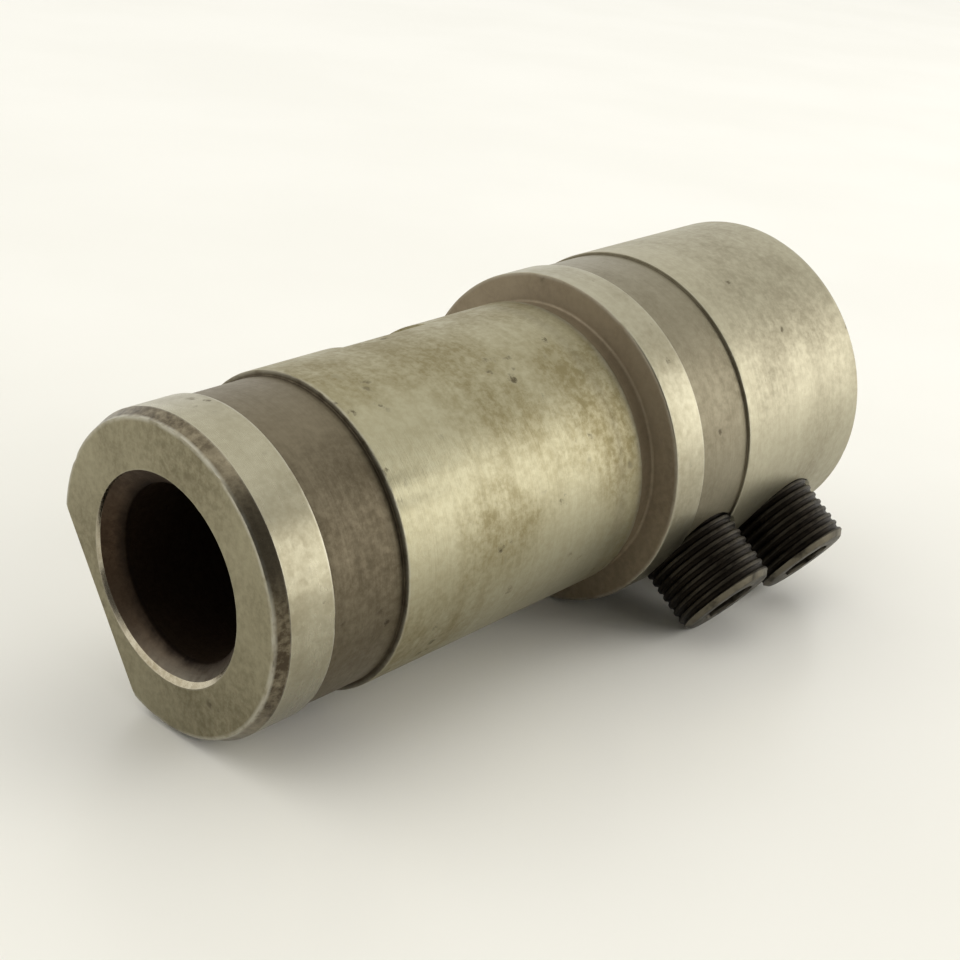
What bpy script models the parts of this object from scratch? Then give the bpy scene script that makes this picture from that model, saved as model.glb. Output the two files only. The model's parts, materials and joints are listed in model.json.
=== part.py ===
"""A rigid set-screw sleeve: a stepped, ground steel sleeve with a through bore and two socket set screws.

Frame: +X runs along the bore from the small front end to the large head, +Z is up as the sleeve lies on a
bench, and the origin is at the bottom centre of the whole part's box. Driving sizes are in millimetres and
meshes are in metres.
"""

import math

import bmesh
import bpy
from mathutils import Matrix, Vector

MM = 0.001

# Stations along the bore, from the front face
LEAD_END = 2.0
COLLAR_END = 9.0
NECK_END = 21.0
BARREL_END = 68.25
FLANGE_FRONT = 71.4
FLANGE_END = 78.1
BAND_END = 89.7
LENGTH = 121.3

# Radii
FRONT_EDGE_RADIUS = 21.4
COLLAR_RADIUS = 21.92
NECK_RADIUS = 21.4
BARREL_RADIUS = 22.225
UNDERCUT_RADIUS = 21.5
HEAD_RADIUS = 26.0
BAND_RADIUS = 25.55
BORE_RADIUS = 11.906

# Edges. The bore's mouth has a lip and then a cone, each given as its length and the radius it opens by.
MOUTH_LIP = (0.4, 0.8)
MOUTH_CONE = (2.4, 1.5)
FINE_EDGE = 0.3
HEAD_EDGE = 0.8
REAR_MOUTH_EDGE = 0.9
UNDERCUT_FILLET = 0.6

# Flats
COLLAR_FLAT_DISTANCE = 16.2
COLLAR_FLAT_END = 10.5
COLLAR_FLAT_ANGLE = math.radians(-32.0)
CLAMP_FLAT_DEPTH = 0.8
CLAMP_FLAT_SPAN = (35.0, 51.0)
CLAMP_FLAT_ANGLE = COLLAR_FLAT_ANGLE + math.pi / 2

# Set screws, 5/8 inch fine thread, leaning towards -Y and down
SCREW_STATIONS = {"front_set_screw": 85.1, "rear_set_screw": 106.5}
SCREW_SLOPE = math.radians(36.0)
SCREW_RADIUS = 15.875 / 2
SCREW_LENGTH = 19.05
SCREW_OUTER_END = 35.8
SCREW_EDGE = 1.1
SCREW_POINT_RADIUS = 5.2
SCREW_POINT_LENGTH = 1.9
CUP_RADIUS = 3.6
CUP_DEPTH = 1.3
SOCKET_WIDTH = 7.94
SOCKET_DEPTH = 7.5
SOCKET_TIP = SOCKET_WIDTH / 6
RUNNING_GAP = 0.3

# Meshes: the sides of each round shape, and how far a cutter runs past the surface it opens
SLEEVE_SIDES = 36
SCREW_SIDES = 48
SOCKET_SIDES = 6
SHARP_ANGLE = math.radians(30)
CUTTER_OVERRUN = 2.0
HOLE_START = BORE_RADIUS / 2

# The bore axis stands at this height and this far aside, which puts the box's bottom centre at the origin
AXIS_HEIGHT = ((SCREW_OUTER_END - SCREW_EDGE) * math.sin(SCREW_SLOPE)
               + SCREW_RADIUS * math.cos(SCREW_SLOPE))
SCREW_REACH = SCREW_OUTER_END * math.cos(SCREW_SLOPE) + (SCREW_RADIUS - SCREW_EDGE) * math.sin(SCREW_SLOPE)
AXIS_ASIDE = (SCREW_REACH - HEAD_RADIUS) / 2
FRONT_CENTRE = Vector((-LENGTH / 2, AXIS_ASIDE, AXIS_HEIGHT)) * MM

GROUND_STEEL = {"color": (0.47, 0.44, 0.38, 1.0), "roughness": 0.32}
BLACK_STEEL = {"color": (0.045, 0.04, 0.035, 1.0), "roughness": 0.45}


def clear_scene():
    """Removes every object of the open scene."""
    for item in list(bpy.data.objects):
        bpy.data.objects.remove(item, do_unlink=True)


def steel(name, finish):
    """Returns a metal material with the finish's colour and roughness."""
    material = bpy.data.materials.new(name)
    material.use_nodes = True
    shader = material.node_tree.nodes["Principled BSDF"]
    shader.inputs["Base Color"].default_value = finish["color"]
    shader.inputs["Roughness"].default_value = finish["roughness"]
    shader.inputs["Metallic"].default_value = 1.0
    return material


def add_object(name, mesh_data, material=None, parent=None):
    """Turns a bmesh into a linked object that is shaded smooth up to the sharp angle."""
    mesh = bpy.data.meshes.new(name)
    bmesh.ops.recalc_face_normals(mesh_data, faces=mesh_data.faces)
    mesh_data.to_mesh(mesh)
    mesh_data.free()
    mesh.shade_smooth()
    mesh.set_sharp_from_angle(angle=SHARP_ANGLE)
    item = bpy.data.objects.new(name, mesh)
    bpy.context.collection.objects.link(item)
    if material:
        mesh.materials.append(material)
    item.parent = parent
    return item


def turned(profile, sides, axis):
    """Returns a closed solid of revolution. The profile is a loop of (station, radius) in millimetres, turned
    about the axis "X" or "Z"; a radius of 0 is a point on the axis. The middle of each flat stands at the
    stated radius, and a flat, not an edge, faces each of the four directions across the axis."""
    data = bmesh.new()
    rings = []
    half_step = math.pi / sides
    for station, radius in profile:
        count = sides if radius > 0 else 1
        corner_radius = radius / math.cos(half_step)
        ring = []
        for step in range(count):
            turn = (2 * step + 1) * half_step
            across = (corner_radius * math.cos(turn), corner_radius * math.sin(turn))
            point = (station, *across) if axis == "X" else (*across, station)
            ring.append(data.verts.new(Vector(point) * MM))
        rings.append(ring)
    closed = profile[0][1] > 0 and profile[-1][1] > 0
    pairs = list(zip(rings, rings[1:]))
    if closed:
        pairs.append((rings[-1], rings[0]))
    for first, second in pairs:
        for step in range(sides):
            after = (step + 1) % sides
            corners = [first[step % len(first)], first[after % len(first)],
                       second[after % len(second)], second[step % len(second)]]
            data.faces.new(list(dict.fromkeys(corners)))
    return data


def outer_profile():
    """The sleeve's outside, from the front face's edge to the rear face's edge."""
    return [
        (0.0, FRONT_EDGE_RADIUS),
        (LEAD_END, COLLAR_RADIUS),
        (COLLAR_END - FINE_EDGE, COLLAR_RADIUS),
        (COLLAR_END, COLLAR_RADIUS - FINE_EDGE),
        (COLLAR_END, NECK_RADIUS),
        (NECK_END, NECK_RADIUS),
        (NECK_END, BARREL_RADIUS - FINE_EDGE),
        (NECK_END + FINE_EDGE, BARREL_RADIUS),
        (BARREL_END - FINE_EDGE, BARREL_RADIUS),
        (BARREL_END, BARREL_RADIUS - FINE_EDGE),
        (BARREL_END, UNDERCUT_RADIUS),
        (FLANGE_FRONT - UNDERCUT_FILLET, UNDERCUT_RADIUS),
        (FLANGE_FRONT, UNDERCUT_RADIUS + UNDERCUT_FILLET),
        (FLANGE_FRONT, HEAD_RADIUS - FINE_EDGE),
        (FLANGE_FRONT + FINE_EDGE, HEAD_RADIUS),
        (FLANGE_END, HEAD_RADIUS),
        (FLANGE_END, BAND_RADIUS),
        (BAND_END, BAND_RADIUS),
        (BAND_END, HEAD_RADIUS),
        (LENGTH - HEAD_EDGE, HEAD_RADIUS),
        (LENGTH, HEAD_RADIUS - HEAD_EDGE),
    ]


def bore_profile():
    """The bore, from the rear mouth to the flared front mouth."""
    cone_end = MOUTH_LIP[0] + MOUTH_CONE[0]
    cone_radius = BORE_RADIUS + MOUTH_CONE[1]
    return [
        (LENGTH, BORE_RADIUS + REAR_MOUTH_EDGE),
        (LENGTH - REAR_MOUTH_EDGE, BORE_RADIUS),
        (cone_end, BORE_RADIUS),
        (MOUTH_LIP[0], cone_radius),
        (0.0, cone_radius + MOUTH_LIP[1]),
    ]


def flat_cutter(name, parent, start, end, distance, angle):
    """A block that mills a flat: from start to end along the bore, beyond distance at the angle about +X."""
    height = 2 * HEAD_RADIUS
    data = bmesh.new()
    bmesh.ops.create_cube(data, size=1.0)
    size = Vector((end - start, height, 2 * height)) * MM
    centre = Vector(((start + end) / 2, distance + height / 2, 0.0)) * MM
    bmesh.ops.transform(data, matrix=Matrix.Diagonal(size.to_4d()), verts=data.verts)
    bmesh.ops.translate(data, vec=centre, verts=data.verts)
    bmesh.ops.rotate(data, cent=(0, 0, 0), matrix=Matrix.Rotation(angle, 3, "X"), verts=data.verts)
    return mark_cutter(add_object(name, data, parent=parent))


def mark_cutter(item):
    """Hides a cutter from the finished model."""
    item.hide_render = True
    item.display_type = "WIRE"
    return item


def screw_matrix(station):
    """Places a screw: local +Z runs outwards along the screw, local +X along the bore."""
    outwards = Vector((0.0, -math.cos(SCREW_SLOPE), -math.sin(SCREW_SLOPE)))
    along = Vector((1.0, 0.0, 0.0))
    rotation = Matrix((along, outwards.cross(along), outwards)).transposed().to_4x4()
    return Matrix.Translation(Vector((station, 0.0, 0.0)) * MM) @ rotation


def hole_cutter(name, parent, station):
    """A cylinder that opens one screw hole, from inside the bore to outside the head."""
    radius = SCREW_RADIUS + RUNNING_GAP
    end = HEAD_RADIUS + CUTTER_OVERRUN
    profile = [(HOLE_START, 0.0), (HOLE_START, radius), (end, radius), (end, 0.0)]
    data = turned(profile, SCREW_SIDES, "Z")
    item = add_object(name, data, parent=parent)
    item.matrix_local = screw_matrix(station)
    return mark_cutter(item)


def cut(item, cutter):
    """Subtracts the cutter from the item."""
    modifier = item.modifiers.new(cutter.name, "BOOLEAN")
    modifier.operation = "DIFFERENCE"
    modifier.solver = "EXACT"
    modifier.object = cutter


def make_sleeve(axis_empty, material):
    """The one-piece sleeve with its bore, flats and screw holes."""
    data = turned(outer_profile() + bore_profile(), SLEEVE_SIDES, "X")
    body = add_object("sleeve_body", data, material, axis_empty)
    cut(body, flat_cutter("cut_collar_flat", axis_empty, -CUTTER_OVERRUN, COLLAR_FLAT_END,
                          COLLAR_FLAT_DISTANCE, COLLAR_FLAT_ANGLE))
    cut(body, flat_cutter("cut_clamp_flat", axis_empty, *CLAMP_FLAT_SPAN,
                          BARREL_RADIUS - CLAMP_FLAT_DEPTH, CLAMP_FLAT_ANGLE))
    for name, station in SCREW_STATIONS.items():
        cut(body, hole_cutter("cut_" + name, axis_empty, station))
    return body


def screw_profile():
    """A set screw's outside: a plain point with a cup at the inner end and an edge at the outer end."""
    inner = SCREW_OUTER_END - SCREW_LENGTH
    return [
        (inner + CUP_DEPTH, 0.0),
        (inner, CUP_RADIUS),
        (inner, SCREW_POINT_RADIUS),
        (inner + SCREW_POINT_LENGTH, SCREW_RADIUS),
        (SCREW_OUTER_END - SCREW_EDGE, SCREW_RADIUS),
        (SCREW_OUTER_END, SCREW_RADIUS - SCREW_EDGE),
        (SCREW_OUTER_END, 0.0),
    ]


def socket_cutter(name, parent):
    """A hexagonal prism that opens the key socket in a screw's outer end."""
    half_width = SOCKET_WIDTH / 2
    bottom = SCREW_OUTER_END - SOCKET_DEPTH
    end = SCREW_OUTER_END + CUTTER_OVERRUN
    data = turned([(bottom - SOCKET_TIP, 0.0), (bottom, half_width), (end, half_width), (end, 0.0)],
                  SOCKET_SIDES, "Z")
    return mark_cutter(add_object(name, data, parent=parent))


def make_screw(name, station, axis_empty, material):
    """One set screw. Its origin is on the bore axis and its local +Z is the line it travels along."""
    screw = add_object(name, turned(screw_profile(), SCREW_SIDES, "Z"), material, axis_empty)
    screw.matrix_local = screw_matrix(station)
    cut(screw, socket_cutter("cut_socket_of_" + name, screw))
    return screw


def main():
    """Builds the part."""
    clear_scene()
    axis_empty = bpy.data.objects.new("bore_axis", None)
    bpy.context.collection.objects.link(axis_empty)
    axis_empty.location = FRONT_CENTRE
    make_sleeve(axis_empty, steel("ground_steel", GROUND_STEEL))
    black_steel = steel("black_oxide_steel", BLACK_STEEL)
    for name, station in SCREW_STATIONS.items():
        make_screw(name, station, axis_empty, black_steel)


if __name__ == "__main__":
    main()
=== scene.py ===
"""Looks of a rigid set-screw sleeve: a stepped ground steel sleeve with two threaded socket set screws.

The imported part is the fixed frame. Every piece here is made in millimetres along its own axis, and is then
placed on the bore's axis or on a screw's line, both of which are read from the frame.
"""

import json
import logging
import math
from dataclasses import dataclass, field
from enum import Enum

import bmesh
import bpy
import numpy as np
from bpy.types import Material, Node, NodeSocket, NodeTree, Object
from mathutils import Matrix, Vector, noise


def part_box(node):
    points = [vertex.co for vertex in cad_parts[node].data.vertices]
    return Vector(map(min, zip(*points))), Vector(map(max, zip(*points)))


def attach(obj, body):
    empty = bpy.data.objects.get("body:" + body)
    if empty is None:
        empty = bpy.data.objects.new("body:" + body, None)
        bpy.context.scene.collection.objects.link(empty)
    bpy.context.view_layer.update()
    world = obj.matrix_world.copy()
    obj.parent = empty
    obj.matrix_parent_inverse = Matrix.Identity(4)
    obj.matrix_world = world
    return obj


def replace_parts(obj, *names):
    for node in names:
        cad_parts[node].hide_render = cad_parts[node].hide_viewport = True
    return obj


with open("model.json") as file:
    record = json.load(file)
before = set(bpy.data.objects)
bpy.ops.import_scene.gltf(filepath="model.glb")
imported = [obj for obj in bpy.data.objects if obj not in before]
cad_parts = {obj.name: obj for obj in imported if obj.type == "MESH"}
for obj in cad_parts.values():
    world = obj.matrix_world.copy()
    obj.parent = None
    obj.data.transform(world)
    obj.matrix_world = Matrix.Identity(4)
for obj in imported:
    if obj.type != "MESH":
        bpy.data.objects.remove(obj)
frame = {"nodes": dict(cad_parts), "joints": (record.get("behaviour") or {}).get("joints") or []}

MM = 0.001
HOLE_CLEARANCE = 0.12
SHARP_ANGLE = math.radians(38)
LONGEST_TRIM = 0.45
LEAST_FACING = 0.2
VIEW_CENTRE = Vector((57.4, -0.5, -2.6))
# Colour of rubbed steel edges; it also paints the highlight on the lower side of the mouth's cone.
RUBBED_AND_LIT_STEEL = (0.43, 0.41, 0.34)
LOG = logging.getLogger("sleeve")
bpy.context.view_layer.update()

Colour = tuple[float, float, float]
Feed = NodeSocket | float | tuple[float, ...]


class Surface(Enum):
    """The finishes that one turned piece can carry, in the order of its material slots."""

    LAND = 0
    BARREL = 1
    HEAD = 2
    BAND = 3
    NECK = 4
    UNDERCUT = 5
    END_FACE = 6
    LIP = 7
    BORE = 8
    LEAD = 9
    FLANGE = 10


# ------------------------------------------------------------
# Shader node helpers


class NodeSheet:
    """A small hand for wiring shader nodes in a material, a world or a node group."""

    def __init__(self, tree: NodeTree) -> None:
        """Keeps the tree that the nodes are added to."""
        self.tree = tree

    def add(self, kind: str, **settings: object) -> Node:
        """Adds a node and sets its properties.

        Args:
            kind: The node's type name without the ShaderNode prefix.
            **settings: Properties of the node, by name.

        Returns:
            The new node.
        """
        node = self.tree.nodes.new("ShaderNode" + kind)
        for name, value in settings.items():
            setattr(node, name, value)
        return node

    def link(self, source: NodeSocket, target: NodeSocket) -> None:
        """Joins an output socket to an input socket."""
        self.tree.links.new(source, target)

    def feed(self, socket: NodeSocket, value: Feed) -> None:
        """Links a value that comes from a node, and sets any other.

        Args:
            socket: The input socket.
            value: An output socket, a number or a tuple.
        """
        if isinstance(value, NodeSocket):
            self.link(value, socket)
        else:
            socket.default_value = value

    def calc(self, operation: str, first: Feed, second: Feed = 0.0, clamp: bool = False) -> NodeSocket:
        """Adds a math node.

        Args:
            operation: Blender's name of the operation.
            first: The first value.
            second: The second value.
            clamp: Whether the result stays between 0 and 1.

        Returns:
            The result.
        """
        node = self.add("Math", operation=operation, use_clamp=clamp)
        self.feed(node.inputs[0], first)
        self.feed(node.inputs[1], second)
        return node.outputs[0]

    def remap(self, value: Feed, low: Feed, high: Feed, to_low: float = 0.0,
              to_high: float = 1.0) -> NodeSocket:
        """Maps a value from one range to another, with smooth ends.

        Args:
            value: The value to map.
            low: The value that gives to_low.
            high: The value that gives to_high.
            to_low: The result at low.
            to_high: The result at high.

        Returns:
            The result.
        """
        node = self.add("MapRange", interpolation_type="SMOOTHSTEP")
        for index, item in enumerate((value, low, high, to_low, to_high)):
            self.feed(node.inputs[index], item)
        return node.outputs[0]

    def weighted_sum(self, start: Feed, terms: tuple[tuple[Feed, float], ...]) -> Feed:
        """Adds weighted values to a start value.

        Args:
            start: The value to start from.
            terms: Each value with its weight.

        Returns:
            The sum.
        """
        for value, weight in terms:
            start = self.calc("ADD", start, self.calc("MULTIPLY", value, weight))
        return start

    def mix(self, share: Feed, first: Feed, second: Feed) -> NodeSocket:
        """Mixes two colours.

        Args:
            share: How much of the second colour shows.
            first: The colour at share 0.
            second: The colour at share 1.

        Returns:
            The mixed colour.
        """
        node = self.add("Mix", data_type="RGBA")
        self.feed(node.inputs[0], share)
        for index, tone in ((6, first), (7, second)):
            self.feed(node.inputs[index], (*tone, 1.0) if isinstance(tone, tuple) else tone)
        return node.outputs[2]

    def noise(self, where: NodeSocket, scale: float, detail: float = 3.0,
              rough: float = 0.5) -> NodeSocket:
        """Adds a noise texture.

        Args:
            where: The place that is looked up.
            scale: Features per metre.
            detail: The number of finer layers.
            rough: How strong the finer layers are.

        Returns:
            The noise's value.
        """
        node = self.add("TexNoise")
        self.link(where, node.inputs["Vector"])
        node.inputs["Scale"].default_value = scale
        node.inputs["Detail"].default_value = detail
        node.inputs["Roughness"].default_value = rough
        return node.outputs[0]

    def place(self, scale: tuple[float, float, float], shift: Feed = 0.0) -> NodeSocket:
        """Gives the surface's own place, stretched, for a texture to look up.

        Args:
            scale: The stretch along each local axis.
            shift: What moves the pattern, so that no two surfaces share one.

        Returns:
            The stretched place.
        """
        where = self.add("TexCoord").outputs["Object"]
        stretched = self.add("VectorMath", operation="MULTIPLY")
        self.link(where, stretched.inputs[0])
        stretched.inputs[1].default_value = scale
        moved = self.add("VectorMath", operation="ADD")
        self.link(stretched.outputs[0], moved.inputs[0])
        offset = shift if isinstance(shift, NodeSocket) else (shift,) * 3
        self.feed(moved.inputs[1], offset)
        return moved.outputs[0]


GroupParts = tuple[NodeTree, NodeSheet, Node, Node]


def start_material(name: str) -> tuple[Material, NodeSheet, Node]:
    """Starts a material.

    Args:
        name: The material's name.

    Returns:
        The material, its sheet and its Principled shader.
    """
    material = bpy.data.materials.new(name)
    material.use_nodes = True
    return material, NodeSheet(material.node_tree), material.node_tree.nodes["Principled BSDF"]


def new_group(name: str, inputs: dict[str, float], outputs: tuple[str, ...]) -> GroupParts:
    """Makes an empty shader node group with number sockets.

    Args:
        name: The group's name.
        inputs: Each input's name and its usual value.
        outputs: The names of the outputs.

    Returns:
        The group, its sheet, its input node and its output node.
    """
    group = bpy.data.node_groups.new(name, "ShaderNodeTree")
    for label, value in inputs.items():
        socket = group.interface.new_socket(label, in_out="INPUT", socket_type="NodeSocketFloat")
        socket.default_value = value
    for label in outputs:
        group.interface.new_socket(label, in_out="OUTPUT", socket_type="NodeSocketFloat")
    sheet = NodeSheet(group)
    return group, sheet, group.nodes.new("NodeGroupInput"), group.nodes.new("NodeGroupOutput")


def build_grain_group() -> NodeTree:
    """Fine marks that a grinding wheel or a lathe tool leaves round the local X axis.

    Returns:
        A group with Fine, Broad and Height outputs, all from 0 to 1.
    """
    group, sheet, given, result = new_group(
        "turning_marks", {"Shift": 0.0, "Coarse": 0.5}, ("Fine", "Broad", "Height"))
    fine = sheet.noise(sheet.place((9.0, 0.12, 0.12), given.outputs["Shift"]), 420.0, 4.0, 0.65)
    broad = sheet.noise(sheet.place((5.0, 0.3, 0.3), given.outputs["Shift"]), 70.0, 3.0, 0.6)
    waves = sheet.noise(sheet.place((1.0, 0.0, 0.0), given.outputs["Shift"]), 2600.0, 0.0, 0.5)
    mixed = sheet.add("Mix", data_type="FLOAT")
    sheet.link(given.outputs["Coarse"], mixed.inputs[0])
    sheet.link(fine, mixed.inputs[2])
    sheet.link(waves, mixed.inputs[3])
    sheet.link(sheet.remap(fine, 0.3, 0.7), result.inputs["Fine"])
    sheet.link(sheet.remap(broad, 0.3, 0.7), result.inputs["Broad"])
    sheet.link(mixed.outputs[0], result.inputs["Height"])
    return group


def build_stain_group() -> NodeTree:
    """Storage stains: soft brown clouds, finger smudges and small dark specks.

    Returns:
        A group with Cloud, Mottle and Speck masks, all from 0 to 1.
    """
    group, sheet, given, result = new_group("storage_stains", {"Shift": 0.0, "Specks": 0.5},
                                            ("Cloud", "Mottle", "Speck"))
    where = sheet.place((1.0, 1.0, 1.0), given.outputs["Shift"])
    region = sheet.remap(sheet.noise(where, 38.0, 3.0, 0.55), 0.36, 0.66)
    patch = sheet.remap(sheet.noise(where, 150.0, 6.0, 0.7), 0.34, 0.68)
    grains = sheet.remap(sheet.noise(where, 900.0, 4.0, 0.7), 0.3, 0.7)
    broken = sheet.calc("ADD", sheet.calc("MULTIPLY", patch, 0.6), sheet.calc("MULTIPLY", grains, 0.4))
    strength = sheet.calc("ADD", 0.3, sheet.calc("MULTIPLY", broken, 0.9))
    cloud = sheet.calc("MULTIPLY", region, strength, clamp=True)
    dots = sheet.add("TexVoronoi", feature="F1")
    sheet.link(where, dots.inputs["Vector"])
    dots.inputs["Scale"].default_value = 330.0
    ragged = sheet.calc("ADD", dots.outputs["Distance"], sheet.calc("MULTIPLY", grains, 0.4))
    near = sheet.remap(ragged, 0.46, 0.2)
    rare_from = sheet.calc("SUBTRACT", 0.68, sheet.calc("MULTIPLY", given.outputs["Specks"], 0.22))
    rare = sheet.remap(sheet.noise(where, 120.0, 2.0, 0.5), rare_from, 0.68)
    sheet.link(cloud, result.inputs["Cloud"])
    sheet.link(grains, result.inputs["Mottle"])
    sheet.link(sheet.calc("MULTIPLY", near, rare, clamp=True), result.inputs["Speck"])
    return group


def build_wear_and_light_group() -> NodeTree:
    """Rubbed edges, a painted mouth highlight and grime with painted shade in corners, from each piece's
    masks.

    Returns:
        A group with the rub-and-highlight mask and the grime-and-shade mask, both from 0 to 1.
    """
    group, sheet, given, result = new_group("worn_edges_and_painted_light", {"Shift": 0.0}, ("RubAndHighlight", "GrimeAndShade"))
    rub_and_highlight = sheet.add("Attribute", attribute_name="rub_and_highlight").outputs["Fac"]
    grime_and_shade = sheet.add("Attribute", attribute_name="grime_and_shade").outputs["Fac"]
    breaks = sheet.noise(sheet.place((1.0, 1.0, 1.0), given.outputs["Shift"]), 330.0, 3.0, 0.6)
    wear_or_painted_light = sheet.calc("MULTIPLY", rub_and_highlight, sheet.remap(breaks, 0.25, 0.6), clamp=True)
    sheet.link(wear_or_painted_light, result.inputs["RubAndHighlight"])
    # Grime mask, which also paints shade into corners, steps and recesses.
    dirt_and_shade_mask = sheet.calc("MULTIPLY", grime_and_shade, sheet.remap(breaks, 0.75, 0.3, 0.45, 1.0), clamp=True)
    sheet.link(dirt_and_shade_mask, result.inputs["GrimeAndShade"])
    return group


@dataclass(frozen=True)
class SharedEffects:
    """The node groups that more than one finish uses."""

    grain: NodeTree = field(default_factory=build_grain_group)
    stain: NodeTree = field(default_factory=build_stain_group)
    wear_and_light_marks: NodeTree = field(default_factory=build_wear_and_light_group)


def place_group(sheet: NodeSheet, group: NodeTree, **values: float) -> Node:
    """Puts a shared effect in a material with its own values.

    Args:
        sheet: The material's node sheet.
        group: The shared effect.
        **values: The group's inputs, by name.

    Returns:
        The group node.
    """
    node = sheet.add("Group")
    node.node_tree = group
    for name, value in values.items():
        node.inputs[name].default_value = value
    return node


# ------------------------------------------------------------
# Finishes


@dataclass(frozen=True)
class SteelFinish:
    """Bare steel, turned or ground, with stains, grime and painted shade in corners, and rubbed edges."""

    name: str
    clean: Colour
    stained: Colour
    # Colour of specks, and of grime with painted shade in corners and recesses.
    dirt_and_shade: Colour
    roughness: float
    clouds: float
    mottle: float
    specks: float
    grain_depth: float
    coarse: float
    shift: float
    metallic: float = 1.0
    streaks: float = 0.16
    speck_share: float = 0.75
    rub_and_highlight_share: float = 0.85
    stain_roughness: float = 0.14
    grain_roughness: float = 0.07
    speck_roughness: float = 0.25
    grime_roughness: float = 0.2
    bump_strength: float = 0.6
    mottle_height: float = 0.5
    speck_height: float = 0.8

    def material(self, effects: SharedEffects) -> Material:
        """Builds the finish.

        Args:
            effects: The shared node groups.

        Returns:
            The material.
        """
        material, sheet, shader = start_material(self.name)
        shader.inputs["Metallic"].default_value = self.metallic
        grain = place_group(sheet, effects.grain, Shift=self.shift, Coarse=self.coarse)
        stain = place_group(sheet, effects.stain, Shift=self.shift, Specks=self.specks)
        wear_and_light_marks = place_group(sheet, effects.wear_and_light_marks, Shift=self.shift)
        cloud = sheet.calc("MULTIPLY", stain.outputs["Cloud"], self.clouds)
        mottle = sheet.calc("MULTIPLY", stain.outputs["Mottle"], self.mottle)
        streak = sheet.calc("MULTIPLY", grain.outputs["Broad"], self.streaks)
        stained = sheet.calc("ADD", sheet.calc("ADD", cloud, mottle), streak, clamp=True)
        tone = sheet.mix(stained, self.clean, self.stained)
        tone = sheet.mix(sheet.calc("MULTIPLY", stain.outputs["Speck"], self.speck_share), tone, self.dirt_and_shade)
        # Grime and painted shade darken corners and recesses; the rub mask also paints the mouth's highlight.
        tone = sheet.mix(wear_and_light_marks.outputs["GrimeAndShade"], tone, self.dirt_and_shade)
        tone = sheet.mix(sheet.calc("MULTIPLY", wear_and_light_marks.outputs["RubAndHighlight"], self.rub_and_highlight_share), tone, RUBBED_AND_LIT_STEEL)
        sheet.link(tone, shader.inputs["Base Color"])
        rough = sheet.weighted_sum(self.roughness, (
            (stained, self.stain_roughness),
            (grain.outputs["Fine"], self.grain_roughness),
            (stain.outputs["Speck"], self.speck_roughness),
            (wear_and_light_marks.outputs["GrimeAndShade"], self.grime_roughness)))
        sheet.link(rough, shader.inputs["Roughness"])
        bump = sheet.add("Bump")
        bump.inputs["Strength"].default_value = self.bump_strength
        bump.inputs["Distance"].default_value = self.grain_depth * MM
        height = sheet.weighted_sum(grain.outputs["Height"], ((stain.outputs["Mottle"], self.mottle_height),
                                                          (stain.outputs["Speck"], -self.speck_height)))
        sheet.link(height, bump.inputs["Height"])
        sheet.link(bump.outputs[0], shader.inputs["Normal"])
        return material


@dataclass(frozen=True)
class BlackOxide:
    """Black oxide alloy steel, oily, rubbed brown and bright on its crests, with painted shade in socket and
    cup.
    """

    name: str = "black_oxide_screw_steel"
    black: Colour = (0.013, 0.011, 0.009)
    brown: Colour = (0.034, 0.027, 0.019)
    bright: Colour = (0.3, 0.27, 0.2)
    # Colour of grime and painted shade deep in the socket and the cup.
    soot_and_shade: Colour = (0.01, 0.008, 0.007)
    roughness: float = 0.42
    brown_share: float = 0.5
    mottle_roughness: float = 0.16
    grime_roughness: float = 0.2
    bump_strength: float = 0.35
    pit_depth: float = 0.05

    def material(self, effects: SharedEffects) -> Material:
        """Builds the finish.

        Args:
            effects: The shared node groups.

        Returns:
            The material.
        """
        material, sheet, shader = start_material(self.name)
        shader.inputs["Metallic"].default_value = 1.0
        stain = place_group(sheet, effects.stain, Shift=3.7, Specks=0.4)
        wear_and_light_marks = place_group(sheet, effects.wear_and_light_marks, Shift=5.1)
        browned = sheet.calc("MULTIPLY", stain.outputs["Mottle"], self.brown_share)
        tone = sheet.mix(browned, self.black, self.brown)
        tone = sheet.mix(wear_and_light_marks.outputs["RubAndHighlight"], tone, self.bright)
        # Painted shade and grime darken the socket and the cup.
        tone = sheet.mix(wear_and_light_marks.outputs["GrimeAndShade"], tone, self.soot_and_shade)
        sheet.link(tone, shader.inputs["Base Color"])
        rough = sheet.weighted_sum(self.roughness, ((stain.outputs["Mottle"], self.mottle_roughness),
                                                    (wear_and_light_marks.outputs["GrimeAndShade"], self.grime_roughness)))
        sheet.link(rough, shader.inputs["Roughness"])
        bump = sheet.add("Bump")
        bump.inputs["Strength"].default_value = self.bump_strength
        bump.inputs["Distance"].default_value = self.pit_depth * MM
        sheet.link(stain.outputs["Mottle"], bump.inputs["Height"])
        sheet.link(bump.outputs[0], shader.inputs["Normal"])
        return material


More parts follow.
